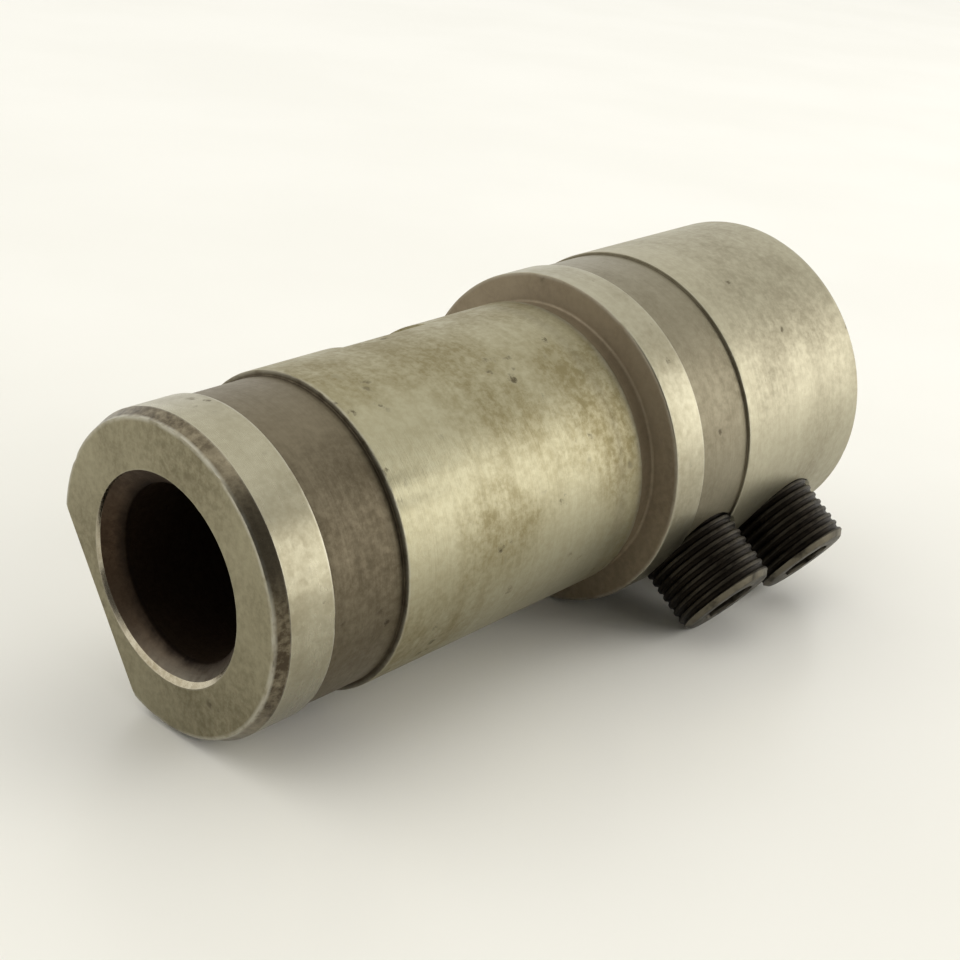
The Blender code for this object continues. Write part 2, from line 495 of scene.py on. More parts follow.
SLEEVE_FINISHES = {
    Surface.LAND: SteelFinish(
        "ground_land_steel", clean=(0.39, 0.368, 0.275), stained=(0.25, 0.223, 0.15),
        dirt_and_shade=(0.085, 0.064, 0.038), roughness=0.2, clouds=0.55, mottle=0.22,
        specks=0.6, grain_depth=0.006, coarse=0.2, shift=0.0),
    Surface.BARREL: SteelFinish(
        "stained_barrel_steel", clean=(0.39, 0.366, 0.254), stained=(0.232, 0.198, 0.104),
        dirt_and_shade=(0.085, 0.065, 0.036), roughness=0.34, clouds=0.75, mottle=0.24,
        specks=0.75, grain_depth=0.035, coarse=0.2, shift=0.6),
    Surface.HEAD: SteelFinish(
        "ground_head_steel", clean=(0.41, 0.383, 0.282), stained=(0.278, 0.251, 0.175),
        dirt_and_shade=(0.13, 0.106, 0.067), roughness=0.37, clouds=0.6, mottle=0.25,
        specks=0.12, grain_depth=0.03, coarse=0.2, shift=9.3),
    Surface.BAND: SteelFinish(
        "turned_band_steel", clean=(0.235, 0.211, 0.147), stained=(0.155, 0.132, 0.084),
        dirt_and_shade=(0.11, 0.086, 0.054), roughness=0.36, clouds=0.6, mottle=0.25,
        specks=0.3, grain_depth=0.03, coarse=0.4, shift=2.9, metallic=0.85),
    Surface.NECK: SteelFinish(
        "turned_neck_steel", clean=(0.19, 0.162, 0.112), stained=(0.118, 0.097, 0.063),
        dirt_and_shade=(0.06, 0.045, 0.03), roughness=0.43, clouds=0.65, mottle=0.28,
        specks=0.3, grain_depth=0.035, coarse=0.5, shift=1.3),
    Surface.UNDERCUT: SteelFinish(
        "undercut_oxide_steel", clean=(0.3, 0.245, 0.165), stained=(0.205, 0.161, 0.104),
        dirt_and_shade=(0.11, 0.083, 0.055), roughness=0.46, clouds=0.7, mottle=0.25,
        specks=0.3, grain_depth=0.035, coarse=0.5, shift=2.1, metallic=0.45),
    Surface.END_FACE: SteelFinish(
        "end_face_steel", clean=(0.325, 0.297, 0.2), stained=(0.19, 0.166, 0.103),
        dirt_and_shade=(0.08, 0.062, 0.04), roughness=0.36, clouds=0.75, mottle=0.38,
        specks=0.45, grain_depth=0.04, coarse=0.1, shift=4.4),
    Surface.LIP: SteelFinish(
        "mouth_lip_steel", clean=(0.62, 0.575, 0.46), stained=(0.34, 0.29, 0.2),
        dirt_and_shade=(0.06, 0.046, 0.03), roughness=0.16, clouds=0.8, mottle=0.35,
        specks=0.2, grain_depth=0.02, coarse=0.1, shift=5.2),
    # The bore's dark colour is rust together with painted shade of the deep bore.
    Surface.BORE: SteelFinish(
        "bore_rust_and_shade_steel", clean=(0.085, 0.058, 0.037), stained=(0.045, 0.027, 0.016),
        dirt_and_shade=(0.016, 0.0105, 0.0075), roughness=0.38, clouds=0.7, mottle=0.4,
        specks=0.5, grain_depth=0.04, coarse=0.4, shift=6.2, metallic=0.9),
    Surface.LEAD: SteelFinish(
        "lead_chamfer_steel", clean=(0.31, 0.27, 0.188), stained=(0.07, 0.054, 0.036),
        dirt_and_shade=(0.03, 0.022, 0.015), roughness=0.24, clouds=0.9, mottle=0.35,
        specks=0.7, grain_depth=0.03, coarse=0.3, shift=7.9),
    Surface.FLANGE: SteelFinish(
        "ground_flange_steel", clean=(0.38, 0.358, 0.268), stained=(0.25, 0.223, 0.15),
        dirt_and_shade=(0.085, 0.064, 0.038), roughness=0.29, clouds=0.55, mottle=0.22,
        specks=0.5, grain_depth=0.004, coarse=0.2, shift=0.0),
}


# ------------------------------------------------------------
# Turned meshes


@dataclass(frozen=True)
class Corner:
    """One corner of a turned outline: its place, its rounding, and the finish of the run after it."""

    station: float
    radius: float
    rounding: float = 0.0
    surface: Surface = Surface.LAND
    rub_and_highlight: float = 0.0
    grime_and_shade: float = 0.0
    fade: float = 0.4


@dataclass(frozen=True)
class Ring:
    """One ring of a turned mesh: its place, its wear and painted shade, and the surface of the strip after
    it.
    """

    station: float
    radius: float
    surface: Surface
    rub_and_highlight: float = 0.0
    grime_and_shade: float = 0.0


def corner_rings(before: Corner, corner: Corner, after: Corner, steps: int = 4) -> list[Ring]:
    """Rounds one corner with an arc, and ends its wear and painted shade a little way along both runs.

    Args:
        before: The corner before this one.
        corner: The corner to round.
        after: The corner after this one.
        steps: The number of arc pieces.

    Returns:
        The rings of this corner, in order.
    """
    here = Vector((corner.station, corner.radius))
    back = Vector((before.station, before.radius)) - here
    ahead = Vector((after.station, after.radius)) - here
    reach_back, reach_ahead = back.length, ahead.length
    back.normalize()
    ahead.normalize()
    trim = 0.0
    if corner.rounding > 0:
        tangent = corner.rounding / math.tan(back.angle(ahead) / 2)
        trim = min(tangent, LONGEST_TRIM * reach_back, LONGEST_TRIM * reach_ahead)
    arc = [here]
    if trim > 0:
        start, end = here + back * trim, here + ahead * trim
        shares = [step / steps for step in range(steps + 1)]
        arc = [start * (1 - share) ** 2 + here * 2 * share * (1 - share) + end * share ** 2
               for share in shares]
    rings = []
    wear_or_painted_light = corner.rub_and_highlight > 0 or corner.grime_and_shade > 0
    mark_reach = trim + corner.fade
    if wear_or_painted_light and reach_back / 2 > mark_reach:
        point = here + back * mark_reach
        rings.append(Ring(point.x, point.y, before.surface))
    for index, point in enumerate(arc):
        surface = before.surface if index < len(arc) // 2 else corner.surface
        rings.append(Ring(point.x, point.y, surface, corner.rub_and_highlight, corner.grime_and_shade))
    if wear_or_painted_light and reach_ahead / 2 > mark_reach:
        point = here + ahead * mark_reach
        rings.append(Ring(point.x, point.y, corner.surface))
    return rings


def even_turns(count: int) -> list[float]:
    """Returns evenly spaced angles round one whole turn."""
    return [2 * math.pi * step / count for step in range(count)]


def tube_faces(rows: int, columns: int, closed: bool) -> list[tuple[int, ...]]:
    """Joins rings of points into the faces of one closed mesh.

    Args:
        rows: The number of rings.
        columns: The number of points in each ring.
        closed: Whether the last ring joins the first. If it doesn't, each end gets a cap.

    Returns:
        The faces as point numbers: the strips in the order of the rings, then any caps.
    """
    total = rows * columns
    faces: list[tuple[int, ...]] = []
    for row in range(rows if closed else rows - 1):
        near, far = row * columns, (row + 1) * columns % total
        for column in range(columns):
            after = (column + 1) % columns
            faces.append((near + column, near + after, far + after, far + column))
    if not closed:
        faces.append(tuple(range(columns)))
        faces.append(tuple(range(total - columns, total)))
    return faces


def add_object(name: str, data: bpy.types.ID) -> Object:
    """Puts a mesh, a light or a camera in the scene.

    Args:
        name: The object's name.
        data: What the object shows.

    Returns:
        The object.
    """
    item = bpy.data.objects.new(name, data)
    bpy.context.scene.collection.objects.link(item)
    return item


def make_piece(name: str, points: list[Vector], faces: list[tuple[int, ...]], slots: list[int],
               masks: dict[str, list[float]], materials: list[Material]) -> Object:
    """Makes a smooth shaded object from points and faces.

    Args:
        name: The object's name.
        points: The points, in local millimetres.
        faces: The faces, as point numbers.
        slots: Each face's material slot.
        masks: Numbers for each point, by mask name.
        materials: The materials, in slot order.

    Returns:
        The object.
    """
    mesh = bpy.data.meshes.new(name)
    mesh.from_pydata([point * MM for point in points], [], faces)
    mesh.update()
    for mask, values in masks.items():
        attribute = mesh.attributes.new(mask, "FLOAT", "POINT")
        attribute.data.foreach_set("value", np.array(values, np.float32))
    for material in materials:
        mesh.materials.append(material)
    mesh.polygons.foreach_set("material_index", slots)
    mesh.validate()
    fix = bmesh.new()
    fix.from_mesh(mesh)
    bmesh.ops.recalc_face_normals(fix, faces=fix.faces)
    fix.to_mesh(mesh)
    fix.free()
    mesh.shade_smooth()
    mesh.set_sharp_from_angle(angle=SHARP_ANGLE)
    return add_object(name, mesh)


def apply_difference(piece: Object, cutter: Object) -> None:
    """Cuts one object with another, keeps the result and removes the cutter.

    Args:
        piece: The object that is cut.
        cutter: The object that is taken away.
    """
    modifier = piece.modifiers.new("cut", "BOOLEAN")
    modifier.operation = "DIFFERENCE"
    modifier.solver = "EXACT"
    modifier.object = cutter
    bpy.context.view_layer.update()
    cut = bpy.data.meshes.new_from_object(piece.evaluated_get(bpy.context.evaluated_depsgraph_get()))
    cut.set_sharp_from_angle(angle=SHARP_ANGLE)
    piece.modifiers.clear()
    piece.data = cut
    bpy.data.objects.remove(cutter, do_unlink=True)


@dataclass(frozen=True)
class BoreLine:
    """The bore's axis in the frame: the centre of the front face, and how screws leave it."""

    front: Vector
    slope: float

    def matrix(self) -> Matrix:
        """Returns the placement of a piece turned about local X from the front face."""
        return Matrix.Translation(self.front)

    def screw_matrix(self, station: float) -> Matrix:
        """Returns a screw's placement: local +Z runs outwards along it.

        Args:
            station: Its place along the bore, in millimetres from the front face.

        Returns:
            The placement, in metres.
        """
        outwards = Vector((0.0, -math.cos(self.slope), -math.sin(self.slope)))
        along = Vector((1.0, 0.0, 0.0))
        rotation = Matrix((along, outwards.cross(along), outwards)).transposed().to_4x4()
        return Matrix.Translation(self.front + along * station * MM) @ rotation


@dataclass(frozen=True)
class Flat:
    """A flat milled on the sleeve, at a distance from the axis and an angle about it."""

    start: float
    end: float
    distance: float
    angle: float

    def limit(self, station: float, turn: float) -> float:
        """Finds how far from the axis the flat lets the surface reach.

        Args:
            station: The place along the bore.
            turn: The angle about the bore.

        Returns:
            The distance, or infinity where the flat doesn't reach.
        """
        facing = math.cos(turn - self.angle)
        if not self.start <= station <= self.end or facing < LEAST_FACING:
            return math.inf
        return self.distance / facing

    def edge_angles(self, radius: float) -> tuple[float, float]:
        """Returns the two angles at which the flat leaves a round surface of the given radius."""
        half = math.acos(self.distance / radius)
        return self.angle - half, self.angle + half


def soft_least(first: float, second: float, blend: float = 0.12) -> float:
    """Finds the lesser of two lengths, with the edge where they meet rounded off.

    Args:
        first: One length, in millimetres.
        second: The other length.
        blend: How far the rounding reaches.

    Returns:
        The lesser length.
    """
    if second == math.inf:
        return first
    share = min(max(0.5 + 0.5 * (second - first) / blend, 0.0), 1.0)
    return second * (1 - share) + first * share - blend * share * (1 - share)


@dataclass
class SleeveBody:
    """The one-piece sleeve with its collar, neck, barrel, flange, band, head and bore, in millimetres."""

    line: BoreLine
    length: float
    head_radius: float
    front_edge_radius: float = 21.05
    lead_end: float = 2.0
    collar_end: float = 9.0
    collar_radius: float = 21.92
    neck_end: float = 21.0
    neck_radius: float = 21.4
    barrel_end: float = 68.25
    barrel_radius: float = 22.225
    undercut_radius: float = 21.5
    flange_front: float = 71.4
    flange_end: float = 78.1
    band_end: float = 89.7
    band_radius: float = 25.55
    head_edge: float = 0.8
    bore_radius: float = 11.906
    cone_radius: float = 13.406
    cone_end: float = 2.8
    lip_radius: float = 14.3
    lip_end: float = 0.5
    lip_full_angle: float = math.radians(262)
    # Painted highlight: the mouth's cone is brightened on its lower side, round this angle.
    lit_mouth_angle: float = math.radians(252)
    mouth_highlight_strength: float = 0.4
    mouth_end: float = 0.9
    stain_ring: tuple[tuple[float, float], ...] = ((6.6, 0.0), (4.6, 0.26), (3.3, 0.08), (2.6, 0.0))
    dent_depth: float = 0.35
    dent_run: float = 0.08
    dent_spread: float = 3.0
    dent_scale: float = 3.1
    dent_rarity: float = 0.25
    flat_end_step: float = 0.05
    collar_flat: Flat = Flat(-1.0, 10.5, 16.2, math.radians(-32.0))
    clamp_flat: Flat = Flat(35.0, 51.0, 21.425, math.radians(58.0))
    turns: int = 240
    edge_turns: tuple[float, ...] = (-0.9, -0.55, -0.25, 0.0, 0.25, 0.55, 0.9)
    least_turn: float = math.radians(0.12)

    def outline(self) -> list[Corner]:
        """Lists the closed outline, from the front mouth over the outside and back through the bore.

        Returns:
            The outline's corners, in order.
        """
        land, barrel, head, band = Surface.LAND, Surface.BARREL, Surface.HEAD, Surface.BAND
        neck, undercut, face, bore = Surface.NECK, Surface.UNDERCUT, Surface.END_FACE, Surface.BORE
        step, clamp = self.flat_end_step, self.clamp_flat
        # The grime values paint shade into the concave corners, the band's steps and the bore, with some real
        # grime; the stain_ring values are a real stain ring.
        return [
            Corner(0.0, self.lip_radius, 0.12, face, rub_and_highlight=0.3, fade=0.2),
            Corner(0.0, self.front_edge_radius, 0.3, Surface.LEAD, rub_and_highlight=1.0, fade=0.35),
            Corner(self.lead_end, self.collar_radius, 0.12, land, rub_and_highlight=0.35, fade=0.2),
            Corner(self.collar_end, self.collar_radius, 0.2, neck, rub_and_highlight=0.6, fade=0.25),
            Corner(self.collar_end, self.neck_radius, 0.15, neck, grime_and_shade=0.5),
            *(Corner(station, self.neck_radius, 0.0, neck)
              for station in (self.collar_flat.end, self.collar_flat.end + step)),
            Corner(self.neck_end, self.neck_radius, 0.2, neck, grime_and_shade=0.75, fade=0.25),
            Corner(self.neck_end, self.barrel_radius, 0.18, barrel, rub_and_highlight=0.6, fade=0.3),
            *(Corner(station, self.barrel_radius, 0.0, barrel)
              for station in (clamp.start - step, clamp.start, clamp.end, clamp.end + step)),
            *(Corner(self.barrel_end - before, self.barrel_radius, 0.0, barrel, grime_and_shade=strength, fade=9.0)
              for before, strength in self.stain_ring),
            Corner(self.barrel_end, self.barrel_radius, 0.25, undercut, rub_and_highlight=0.7, fade=0.9),
            Corner(self.barrel_end, self.undercut_radius, 0.3, undercut),
            Corner(self.flange_front, self.undercut_radius, 0.5, undercut),
            Corner(self.flange_front, self.head_radius, 0.3, Surface.FLANGE, rub_and_highlight=0.4, fade=0.3),
            Corner(self.flange_end, self.head_radius, 0.15, band, rub_and_highlight=0.3, fade=0.3),
            Corner(self.flange_end, self.band_radius, 0.12, band, grime_and_shade=0.15),
            Corner(self.band_end, self.band_radius, 0.12, band, grime_and_shade=0.5, fade=0.2),
            Corner(self.band_end, self.head_radius, 0.15, head, rub_and_highlight=0.3, fade=0.3),
            Corner(self.length - self.head_edge, self.head_radius, 0.4, head, rub_and_highlight=0.4),
            Corner(self.length, self.head_radius - self.head_edge, 0.3, face, rub_and_highlight=0.5),
            Corner(self.length, self.bore_radius + self.mouth_end, 0.2, bore, rub_and_highlight=0.5),
            Corner(self.length - self.mouth_end, self.bore_radius, 0.2, bore),
            # Painted shade deep in the bore, behind the mouth's cone.
            Corner(self.cone_end, self.bore_radius, 0.9, bore, grime_and_shade=0.9, fade=1.1),
            Corner(self.lip_end, self.cone_radius, 0.15, Surface.LIP, grime_and_shade=0.0),
        ]

    def rings(self) -> list[Ring]:
        """Rounds every corner of the outline.

        Returns:
            The rings, in the outline's order.
        """
        corners = self.outline()
        rings: list[Ring] = []
        for index, corner in enumerate(corners):
            rings += corner_rings(corners[index - 1], corner, corners[(index + 1) % len(corners)])
        return rings

    def turn_angles(self) -> list[float]:
        """Spaces the mesh's lengthwise lines, closer together where a flat has its edges.

        Returns:
            The lines' angles about the bore, in rising order.
        """
        angles = set(even_turns(self.turns))
        edges = (self.collar_flat.edge_angles(self.collar_radius)
                 + self.clamp_flat.edge_angles(self.barrel_radius))
        for edge in edges:
            for shift in self.edge_turns:
                angles.add((edge + math.radians(shift)) % (2 * math.pi))
        kept: list[float] = []
        for angle in sorted(angles):
            if not kept or angle - kept[-1] > self.least_turn:
                kept.append(angle)
        return kept

    def radius_at(self, ring: Ring, turn: float) -> float:
        """Finds the surface's distance from the axis, with the flats and small handling dents.

        Args:
            ring: The ring of the outline.
            turn: The angle about the bore.

        Returns:
            The distance.
        """
        radius = ring.radius + self.lip_shift(ring, turn)
        if radius > self.collar_flat.distance - 1.0:
            radius = soft_least(radius, self.collar_flat.limit(ring.station, turn))
            radius = soft_least(radius, self.clamp_flat.limit(ring.station, turn))
        if ring.rub_and_highlight > 0:
            around = self.dent_spread * math.cos(turn), self.dent_spread * math.sin(turn)
            spot = Vector((ring.station * self.dent_run, *around))
            dent = max(0.0, noise.noise(spot * self.dent_scale) - self.dent_rarity)
            radius -= self.dent_depth * dent * ring.rub_and_highlight
        return radius

    def lip_shift(self, ring: Ring, turn: float) -> float:
        """Finds how far the mouth's lip is thinned: it is full at one side and nearly gone at the other.

        Args:
            ring: The ring of the outline.
            turn: The angle about the bore.

        Returns:
            The distance that the ring moves outwards there.
        """
        if ring.radius > self.lip_radius or not 0.0 < ring.station < self.cone_end:
            return 0.0
        if ring.station < self.lip_end:
            share = ring.station / self.lip_end
        else:
            share = (self.cone_end - ring.station) / (self.cone_end - self.lip_end)
        spread = self.lip_radius - self.cone_radius
        return 0.95 * spread * share * abs(math.sin((turn - self.lip_full_angle) / 2))

    def mouth_highlight(self, ring: Ring, turn: float) -> float:
        """Finds the painted highlight on the mouth's cone: it is brightest low down, near its lip.

        Args:
            ring: The ring of the outline.
            turn: The angle about the bore.

        Returns:
            The extra value of the rubbed-edge mask, which paints a highlight here.
        """
        if ring.radius > self.lip_radius or not self.lip_end <= ring.station < self.cone_end:
            return 0.0
        depth = (ring.station - self.lip_end) / (self.cone_end - self.lip_end)
        facing = max(0.0, math.cos(turn - self.lit_mouth_angle))
        return self.mouth_highlight_strength * facing ** 3 * (1 - depth)

    def build(self, materials: list[Material]) -> Object:
        """Builds the sleeve, without its screw holes.

        Args:
            materials: The finishes, in the order of Surface.

        Returns:
            The sleeve.
        """
        rings, angles = self.rings(), self.turn_angles()
        points: list[Vector] = []
        slots: list[int] = []
        masks: dict[str, list[float]] = {"rub_and_highlight": [], "grime_and_shade": []}
        for ring in rings:
            for turn in angles:
                radius = self.radius_at(ring, turn)
                points.append(Vector((ring.station, radius * math.cos(turn), radius * math.sin(turn))))
            slots += [ring.surface.value] * len(angles)
            # The mouth's painted highlight joins the rubbed-edge mask here.
            masks["rub_and_highlight"] += [ring.rub_and_highlight + self.mouth_highlight(ring, turn) for turn in angles]
            masks["grime_and_shade"] += [ring.grime_and_shade] * len(angles)
        faces = tube_faces(len(rings), len(angles), closed=True)
        piece = make_piece("sleeve", points, faces, slots, masks, materials)
        piece.matrix_world = self.line.matrix()
        return piece


@dataclass(frozen=True)
class Section:
    """One section across a screw: its height, its radius in each column, and its wear and painted shade."""

    height: float
    radii: list[float]
    rub_and_highlight: float = 0.0
    grime_and_shade: float = 0.0
    threaded: bool = False


@dataclass
class SetScrew:
    """A socket set screw with a rolled fine thread, a cup point and a hexagon socket, in millimetres."""

    name: str
    line: BoreLine
    station: float
    outer_end: float
    inner_end: float
    radius: float = 7.9375
    pitch: float = 25.4 / 18
    thread_depth: float = 0.36
    crest_width: float = 0.26
    crest_rub: float = 0.13
    crest_height: float = 0.1
    edge: float = 0.85
    edge_rub: float = 0.5
    end_land: float = 0.12
    first_row: float = 0.08
    last_row: float = 0.05
    point_radius: float = 5.2
    point_length: float = 1.9
    cup_radius: float = 3.6
    cup_depth: float = 1.3
    cup_edge: float = 0.1
    cup_step: float = 0.12
    socket_width: float = 7.94
    socket_depth: float = 7.5
    deep_shade_start: float = 2.2
    rim_start: float = 0.35
    rim_width: float = 0.5
    tip_radius: float = 0.02
    columns: int = 128
    rows_per_pitch: int = 18

    def thread_drop(self, height: float, turn: float) -> float:
        """Finds how far the thread's surface lies below its crest.

        Args:
            height: The place along the screw.
            turn: The angle about the screw.

        Returns:
            The drop, from 0 to the thread's depth.
        """
        phase = (height / self.pitch - turn / (2 * math.pi)) % 1.0
        from_crest = abs(phase - 0.5) * 2
        slope = min(max((from_crest - self.crest_width) / (1 - 2 * self.crest_width), 0.0), 1.0)
        return self.thread_depth * (0.5 * slope + 0.5 * slope * slope * (3 - 2 * slope))

    def envelope(self, height: float) -> float:
        """Finds the radius that the end edge and the point leave.

        Args:
            height: The place along the screw.

        Returns:
            The largest radius there.
        """
        from_outer = self.outer_end - height
        from_inner = height - self.inner_end
        outer = self.radius - max(0.0, self.edge - from_outer)
        inner = self.point_radius + (self.radius - self.point_radius) * from_inner / self.point_length
        return min(self.radius, outer, inner)

    def hexagon(self, turn: float) -> float:
        """Returns the distance from the axis to the socket's hexagon in one direction."""
        side = (turn + math.pi / 6) % (math.pi / 3) - math.pi / 6
        return self.socket_width / 2 / math.cos(side)

    def socket_sections(self, turns: list[float]) -> list[Section]:
        """Shapes the hexagon socket and the rim around it.

        Args:
            turns: The columns' angles.

        Returns:
            The sections, from the socket's drilled tip out to the end edge.
        """
        half = self.socket_width / 2
        floor = self.outer_end - self.socket_depth
        hexagon = [self.hexagon(turn) for turn in turns]
        rim = [max(side, half + self.rim_width) for side in hexagon]
        # Grime with painted shade darkens the socket towards its floor.
        return [
            Section(floor - half / 3, [self.tip_radius] * len(turns), grime_and_shade=1.0),
            Section(floor, hexagon, grime_and_shade=1.0),
            Section(self.outer_end - self.deep_shade_start, hexagon, rub_and_highlight=0.05, grime_and_shade=0.2),
            Section(self.outer_end - self.rim_start, hexagon, rub_and_highlight=0.15),
            Section(self.outer_end, rim, rub_and_highlight=0.3),
            Section(self.outer_end, [self.radius - self.edge - self.end_land] * len(turns), rub_and_highlight=0.3),
        ]

    def thread_sections(self, turns: list[float]) -> list[Section]:
        """Shapes the threaded length, with its end edge and its point.

        Args:
            turns: The columns' angles.

        Returns:
            The sections, from the outer end to the inner one.
        """
        first, last = self.outer_end - self.first_row, self.inner_end + self.last_row
        rows = int((first - last) / self.pitch * self.rows_per_pitch)
        sections = []
        for row in range(rows + 1):
            height = first + (last - first) * row / rows
            limit = self.envelope(height)
            radii = [min(limit, self.radius - self.thread_drop(height, turn)) for turn in turns]
            rub_and_highlight = self.edge_rub if self.outer_end - height < self.edge else 0.0
            sections.append(Section(height, radii, rub_and_highlight, threaded=True))
        return sections

    def cup_sections(self, turns: list[float]) -> list[Section]:
        """Shapes the cup at the inner end.

        Args:
            turns: The columns' angles.

        Returns:
            The sections, from the point's rim to the cup's bottom.
        """
        # Grime with painted shade darkens the cup's bottom.
        return [
            Section(self.inner_end, [self.point_radius - self.cup_edge] * len(turns), rub_and_highlight=0.2),
            Section(self.inner_end, [self.cup_radius + self.cup_edge] * len(turns), rub_and_highlight=0.3),
            Section(self.inner_end + self.cup_step, [self.cup_radius] * len(turns), rub_and_highlight=0.2),
            Section(self.inner_end + self.cup_depth, [self.tip_radius] * len(turns), grime_and_shade=0.5),
        ]

    def rub_at(self, section: Section, radius: float) -> float:
        """Returns the rub mask's value, which is higher on the thread's crests."""
        crest = max(0.0, 1.0 - (self.radius - radius) / self.crest_height) if section.threaded else 0.0
        return max(section.rub_and_highlight, self.crest_rub * crest)

    def build(self, material: Material) -> Object:
        """Builds the screw where it stands.

        Args:
            material: The screw's finish.

        Returns:
            The screw.
        """
        turns = even_turns(self.columns)
        sections = self.socket_sections(turns) + self.thread_sections(turns) + self.cup_sections(turns)
        place = self.line.screw_matrix(self.station)
        points: list[Vector] = []
        masks: dict[str, list[float]] = {"rub_and_highlight": [], "grime_and_shade": []}
        for section in sections:
            for turn, radius in zip(turns, section.radii):
                local = Vector((radius * math.cos(turn), radius * math.sin(turn), section.height))
                points.append(place @ (local * MM) / MM)
                masks["rub_and_highlight"].append(self.rub_at(section, radius))
                masks["grime_and_shade"].append(section.grime_and_shade)
        faces = tube_faces(len(sections), self.columns, closed=False)
        return make_piece(self.name, points, faces, [0] * len(faces), masks, [material])


@dataclass(frozen=True)
class ScrewHole:
    """The tool that opens one screw hole through the head, with a small countersink, in millimetres."""

    line: BoreLine
    station: float
    radius: float
    head_radius: float
    start: float = 5.0
    countersink_depth: float = 1.05
    countersink_reach: float = 3.45
    overrun: float = 3.0
    sides: int = 128

    def build(self) -> Object:
        """Builds the tool.

        Returns:
            The tool, a closed solid of revolution about the screw's line.
        """
        profile = ((self.start, self.radius),
                   (self.head_radius - self.countersink_depth, self.radius),
                   (self.head_radius + self.overrun, self.radius + self.countersink_reach))
        turns = even_turns(self.sides)
        points = [Vector((reach * math.cos(turn), reach * math.sin(turn), height))
                  for height, reach in profile for turn in turns]
        faces = tube_faces(len(profile), self.sides, closed=False)
        cutter = make_piece("hole_tool", points, faces, [0] * len(faces), {}, [])
        cutter.matrix_world = self.line.screw_matrix(self.station)
        return cutter


# ------------------------------------------------------------
# Bench, lights and camera


@dataclass
class Bench:
    """The plain pale bench top under the sleeve, which rests on its collar and its flange."""

    line: BoreLine
    sleeve: SleeveBody
    reach: float = 1.45
    sides: int = 120
    cream: Colour = (0.825, 0.815, 0.77)
    pale: Colour = (0.855, 0.845, 0.805)
    patches: float = 9.0
    roughness: float = 0.3
    specular: float = 0.3

    def slope(self) -> float:
        """Finds how far the bench leans against the bore, because the flange is larger than the collar.

        Returns:
            The angle.
        """
        rise = self.sleeve.head_radius - self.sleeve.collar_radius
        run = self.sleeve.flange_front - self.sleeve.lead_end
        return math.atan2(rise, run)

    def material(self) -> Material:
        """Builds the bench top's laminate.

        Returns:
            The material.
        """
        material, sheet, shader = start_material("bench_top_laminate")
        soft = sheet.noise(sheet.place((1.0, 1.0, 1.0)), self.patches, 3.0, 0.5)
        sheet.link(sheet.mix(sheet.remap(soft, 0.3, 0.7), self.cream, self.pale), shader.inputs["Base Color"])
        shader.inputs["Roughness"].default_value = self.roughness
        shader.inputs["Specular IOR Level"].default_value = self.specular
        return material

    def build(self) -> Object:
        """Builds the bench top.

        Returns:
            The bench top.
        """
        mesh = bpy.data.meshes.new("bench_top")
        turns = even_turns(self.sides)
        rim = [Vector((math.cos(turn), math.sin(turn), 0.0)) * self.reach for turn in turns]
        mesh.from_pydata(rim, [], [tuple(range(self.sides))])
        mesh.materials.append(self.material())
        bench = add_object("bench_top", mesh)
        touch = self.line.front + Vector((self.sleeve.flange_front, 0.0, -self.sleeve.head_radius)) * MM
        bench.matrix_world = Matrix.Translation(touch) @ Matrix.Rotation(self.slope(), 4, "Y")
        return bench


@dataclass(frozen=True)
class SoftBox:
    """A rectangular studio light that faces the sleeve."""

    name: str
    direction: Vector
    distance: float = 1.6
    width: float = 1.3
    height: float = 1.0
    radiance: float = 1.0
    seen_in_metal: bool = True
    tint: Colour = (1.0, 0.985, 0.94)

    def build(self, target: Vector) -> Object:
        """Places the light.

        Args:
            target: The point that it faces.

        Returns:
            The light.
        """
        light = bpy.data.lights.new(self.name, "AREA")
        light.shape = "RECTANGLE"
        light.size, light.size_y = self.width, self.height
        light.energy = self.radiance * math.pi * self.width * self.height
        light.color = self.tint
        lamp = add_object(self.name, light)
        lamp.visible_glossy = self.seen_in_metal
        lamp.visible_camera = False
        away = self.direction.normalized()
        lamp.location = target + away * self.distance
        lamp.rotation_euler = away.to_track_quat("Z", "Y").to_euler()
        return lamp


@dataclass
class Studio:
    """Soft light: a bright room, a window-like panel at one side and a dim side behind the camera."""

    target: Vector
    room: Colour = (1.17, 1.155, 1.09)
    dim: Colour = (0.09, 0.085, 0.08)
    backdrop: Colour = (0.93, 0.92, 0.86)
    dim_side: tuple[float, float, float] = (-0.3, -0.9, 0.28)
    dim_from: float = 0.34
    dim_full: float = 0.76

    def build_world(self) -> None:
        """Builds the room light, which is dimmer at one side, behind a backdrop as pale as the bench."""
        world = bpy.data.worlds.new("studio_room")
        bpy.context.scene.world = world
        world.use_nodes = True
        sheet = NodeSheet(world.node_tree)
        background = world.node_tree.nodes["Background"]
        direction = sheet.add("TexCoord").outputs["Generated"]
        facing = sheet.add("VectorMath", operation="DOT_PRODUCT")
        sheet.link(direction, facing.inputs[0])
        facing.inputs[1].default_value = Vector(self.dim_side).normalized()
        share = sheet.remap(facing.outputs["Value"], self.dim_from, self.dim_full)
        light = sheet.mix(share, self.room, self.dim)
        seen = sheet.add("LightPath").outputs["Is Camera Ray"]
        sheet.link(sheet.mix(seen, light, self.backdrop), background.inputs["Color"])

    def build(self) -> None:
        """Builds the room light and the panels."""
        self.build_world()
        window = Vector((0.72, -0.66, 0.175))
        panels = (
            SoftBox("window_panel", window, distance=1.5, width=1.4, height=1.1, radiance=1.95),
            SoftBox("window_glow", Vector((0.72, -0.6, 0.34)), radiance=1.05, seen_in_metal=False),
            SoftBox("front_glow", Vector((0.25, -0.85, 0.5)), radiance=0.85, seen_in_metal=False),
            SoftBox("back_glow", Vector((-0.5, 0.7, 0.55)), radiance=0.8, seen_in_metal=False),
        )
        for panel in panels:
            panel.build(self.target)
            LOG.info("light %s", panel.name)


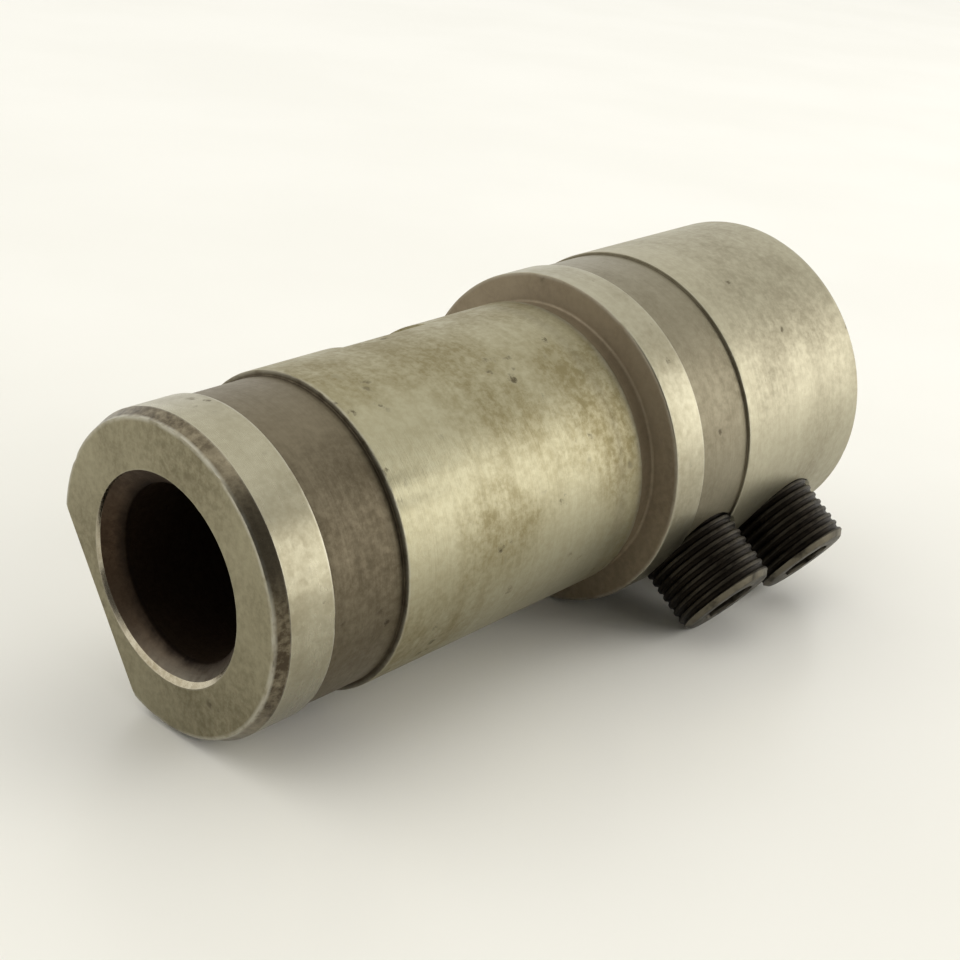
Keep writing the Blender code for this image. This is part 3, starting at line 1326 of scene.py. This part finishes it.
@dataclass
class ViewCamera:
    """The camera, which looks past the front face along the sleeve, in degrees and metres."""

    target: Vector
    azimuth: float = -48.57
    elevation: float = 24.67
    roll: float = 4.3
    distance: float = 0.245
    lens: float = 61.8
    sensor: float = 36.0

    def build(self) -> Object:
        """Places the camera and makes it the scene's.

        Returns:
            The camera.
        """
        around, above = math.radians(self.azimuth), math.radians(self.elevation)
        level = math.cos(above)
        back = Vector((math.sin(around) * level, -math.cos(around) * level, math.sin(above)))
        data = bpy.data.cameras.new("camera")
        data.lens = self.lens
        data.sensor_width = self.sensor
        data.clip_start = 0.01
        camera = add_object("camera", data)
        turned = back.to_track_quat("Z", "Y").to_matrix().to_4x4()
        roll = Matrix.Rotation(math.radians(self.roll), 4, "Z")
        camera.matrix_world = Matrix.Translation(self.target + back * self.distance) @ turned @ roll
        bpy.context.scene.camera = camera
        return camera


def read_line() -> tuple[BoreLine, float, float]:
    """Reads the bore's axis and the sleeve's size from the frame.

    Returns:
        The axis in metres, and the sleeve's length and the head's radius in millimetres.
    """
    low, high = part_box("sleeve_body")
    centre = (low + high) / 2
    outwards = Vector(frame["joints"][0]["axis"])
    slope = math.atan2(-outwards.z, -outwards.y)
    line = BoreLine(Vector((low.x, centre.y, centre.z)), slope)
    return line, (high.x - low.x) / MM, (high.y - low.y) / 2 / MM


def read_screw(node: str, line: BoreLine) -> tuple[float, float, float]:
    """Reads one screw's place from the frame.

    Args:
        node: The screw's CAD node.
        line: The bore's axis.

    Returns:
        Its station, its outer end and its inner end, in millimetres.
    """
    low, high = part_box(node)
    outwards = Vector((0.0, -math.cos(line.slope), -math.sin(line.slope)))
    mesh = frame["nodes"][node].data
    reach = [(vertex.co - line.front).dot(outwards) / MM for vertex in mesh.vertices]
    return ((low.x + high.x) / 2 - line.front.x) / MM, max(reach), min(reach)


def main() -> None:
    """Builds every piece in order."""
    logging.basicConfig(level=logging.INFO, format="%(name)s: %(message)s")
    bpy.context.scene.view_settings.view_transform = "Standard"
    line, length, head_radius = read_line()
    target = line.front + VIEW_CENTRE * MM
    ViewCamera(target).build()
    Studio(target).build()
    effects = SharedEffects()

    finishes = [SLEEVE_FINISHES[surface].material(effects) for surface in Surface]
    sleeve = SleeveBody(line, length, head_radius)
    body = sleeve.build(finishes)
    LOG.info("sleeve: %d points", len(body.data.vertices))
    oxide = BlackOxide().material(effects)
    bodies = {"front_set_screw": "front_screw", "rear_set_screw": "rear_screw"}
    for node, rider in bodies.items():
        station, outer_end, inner_end = read_screw(node, line)
        screw = SetScrew(node + "_threaded", line, station, outer_end, inner_end)
        piece = screw.build(oxide)
        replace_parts(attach(piece, rider), node)
        hole = ScrewHole(line, station, screw.radius + HOLE_CLEARANCE, head_radius)
        apply_difference(body, hole.build())
        LOG.info("%s: %d points at %.1f mm", piece.name, len(piece.data.vertices), station)
    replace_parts(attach(body, "sleeve"), "sleeve_body")
    bench = Bench(line, sleeve)
    bench.build()
    LOG.info("bench top leans %.2f degrees", math.degrees(bench.slope()))


if __name__ == "__main__":
    main()
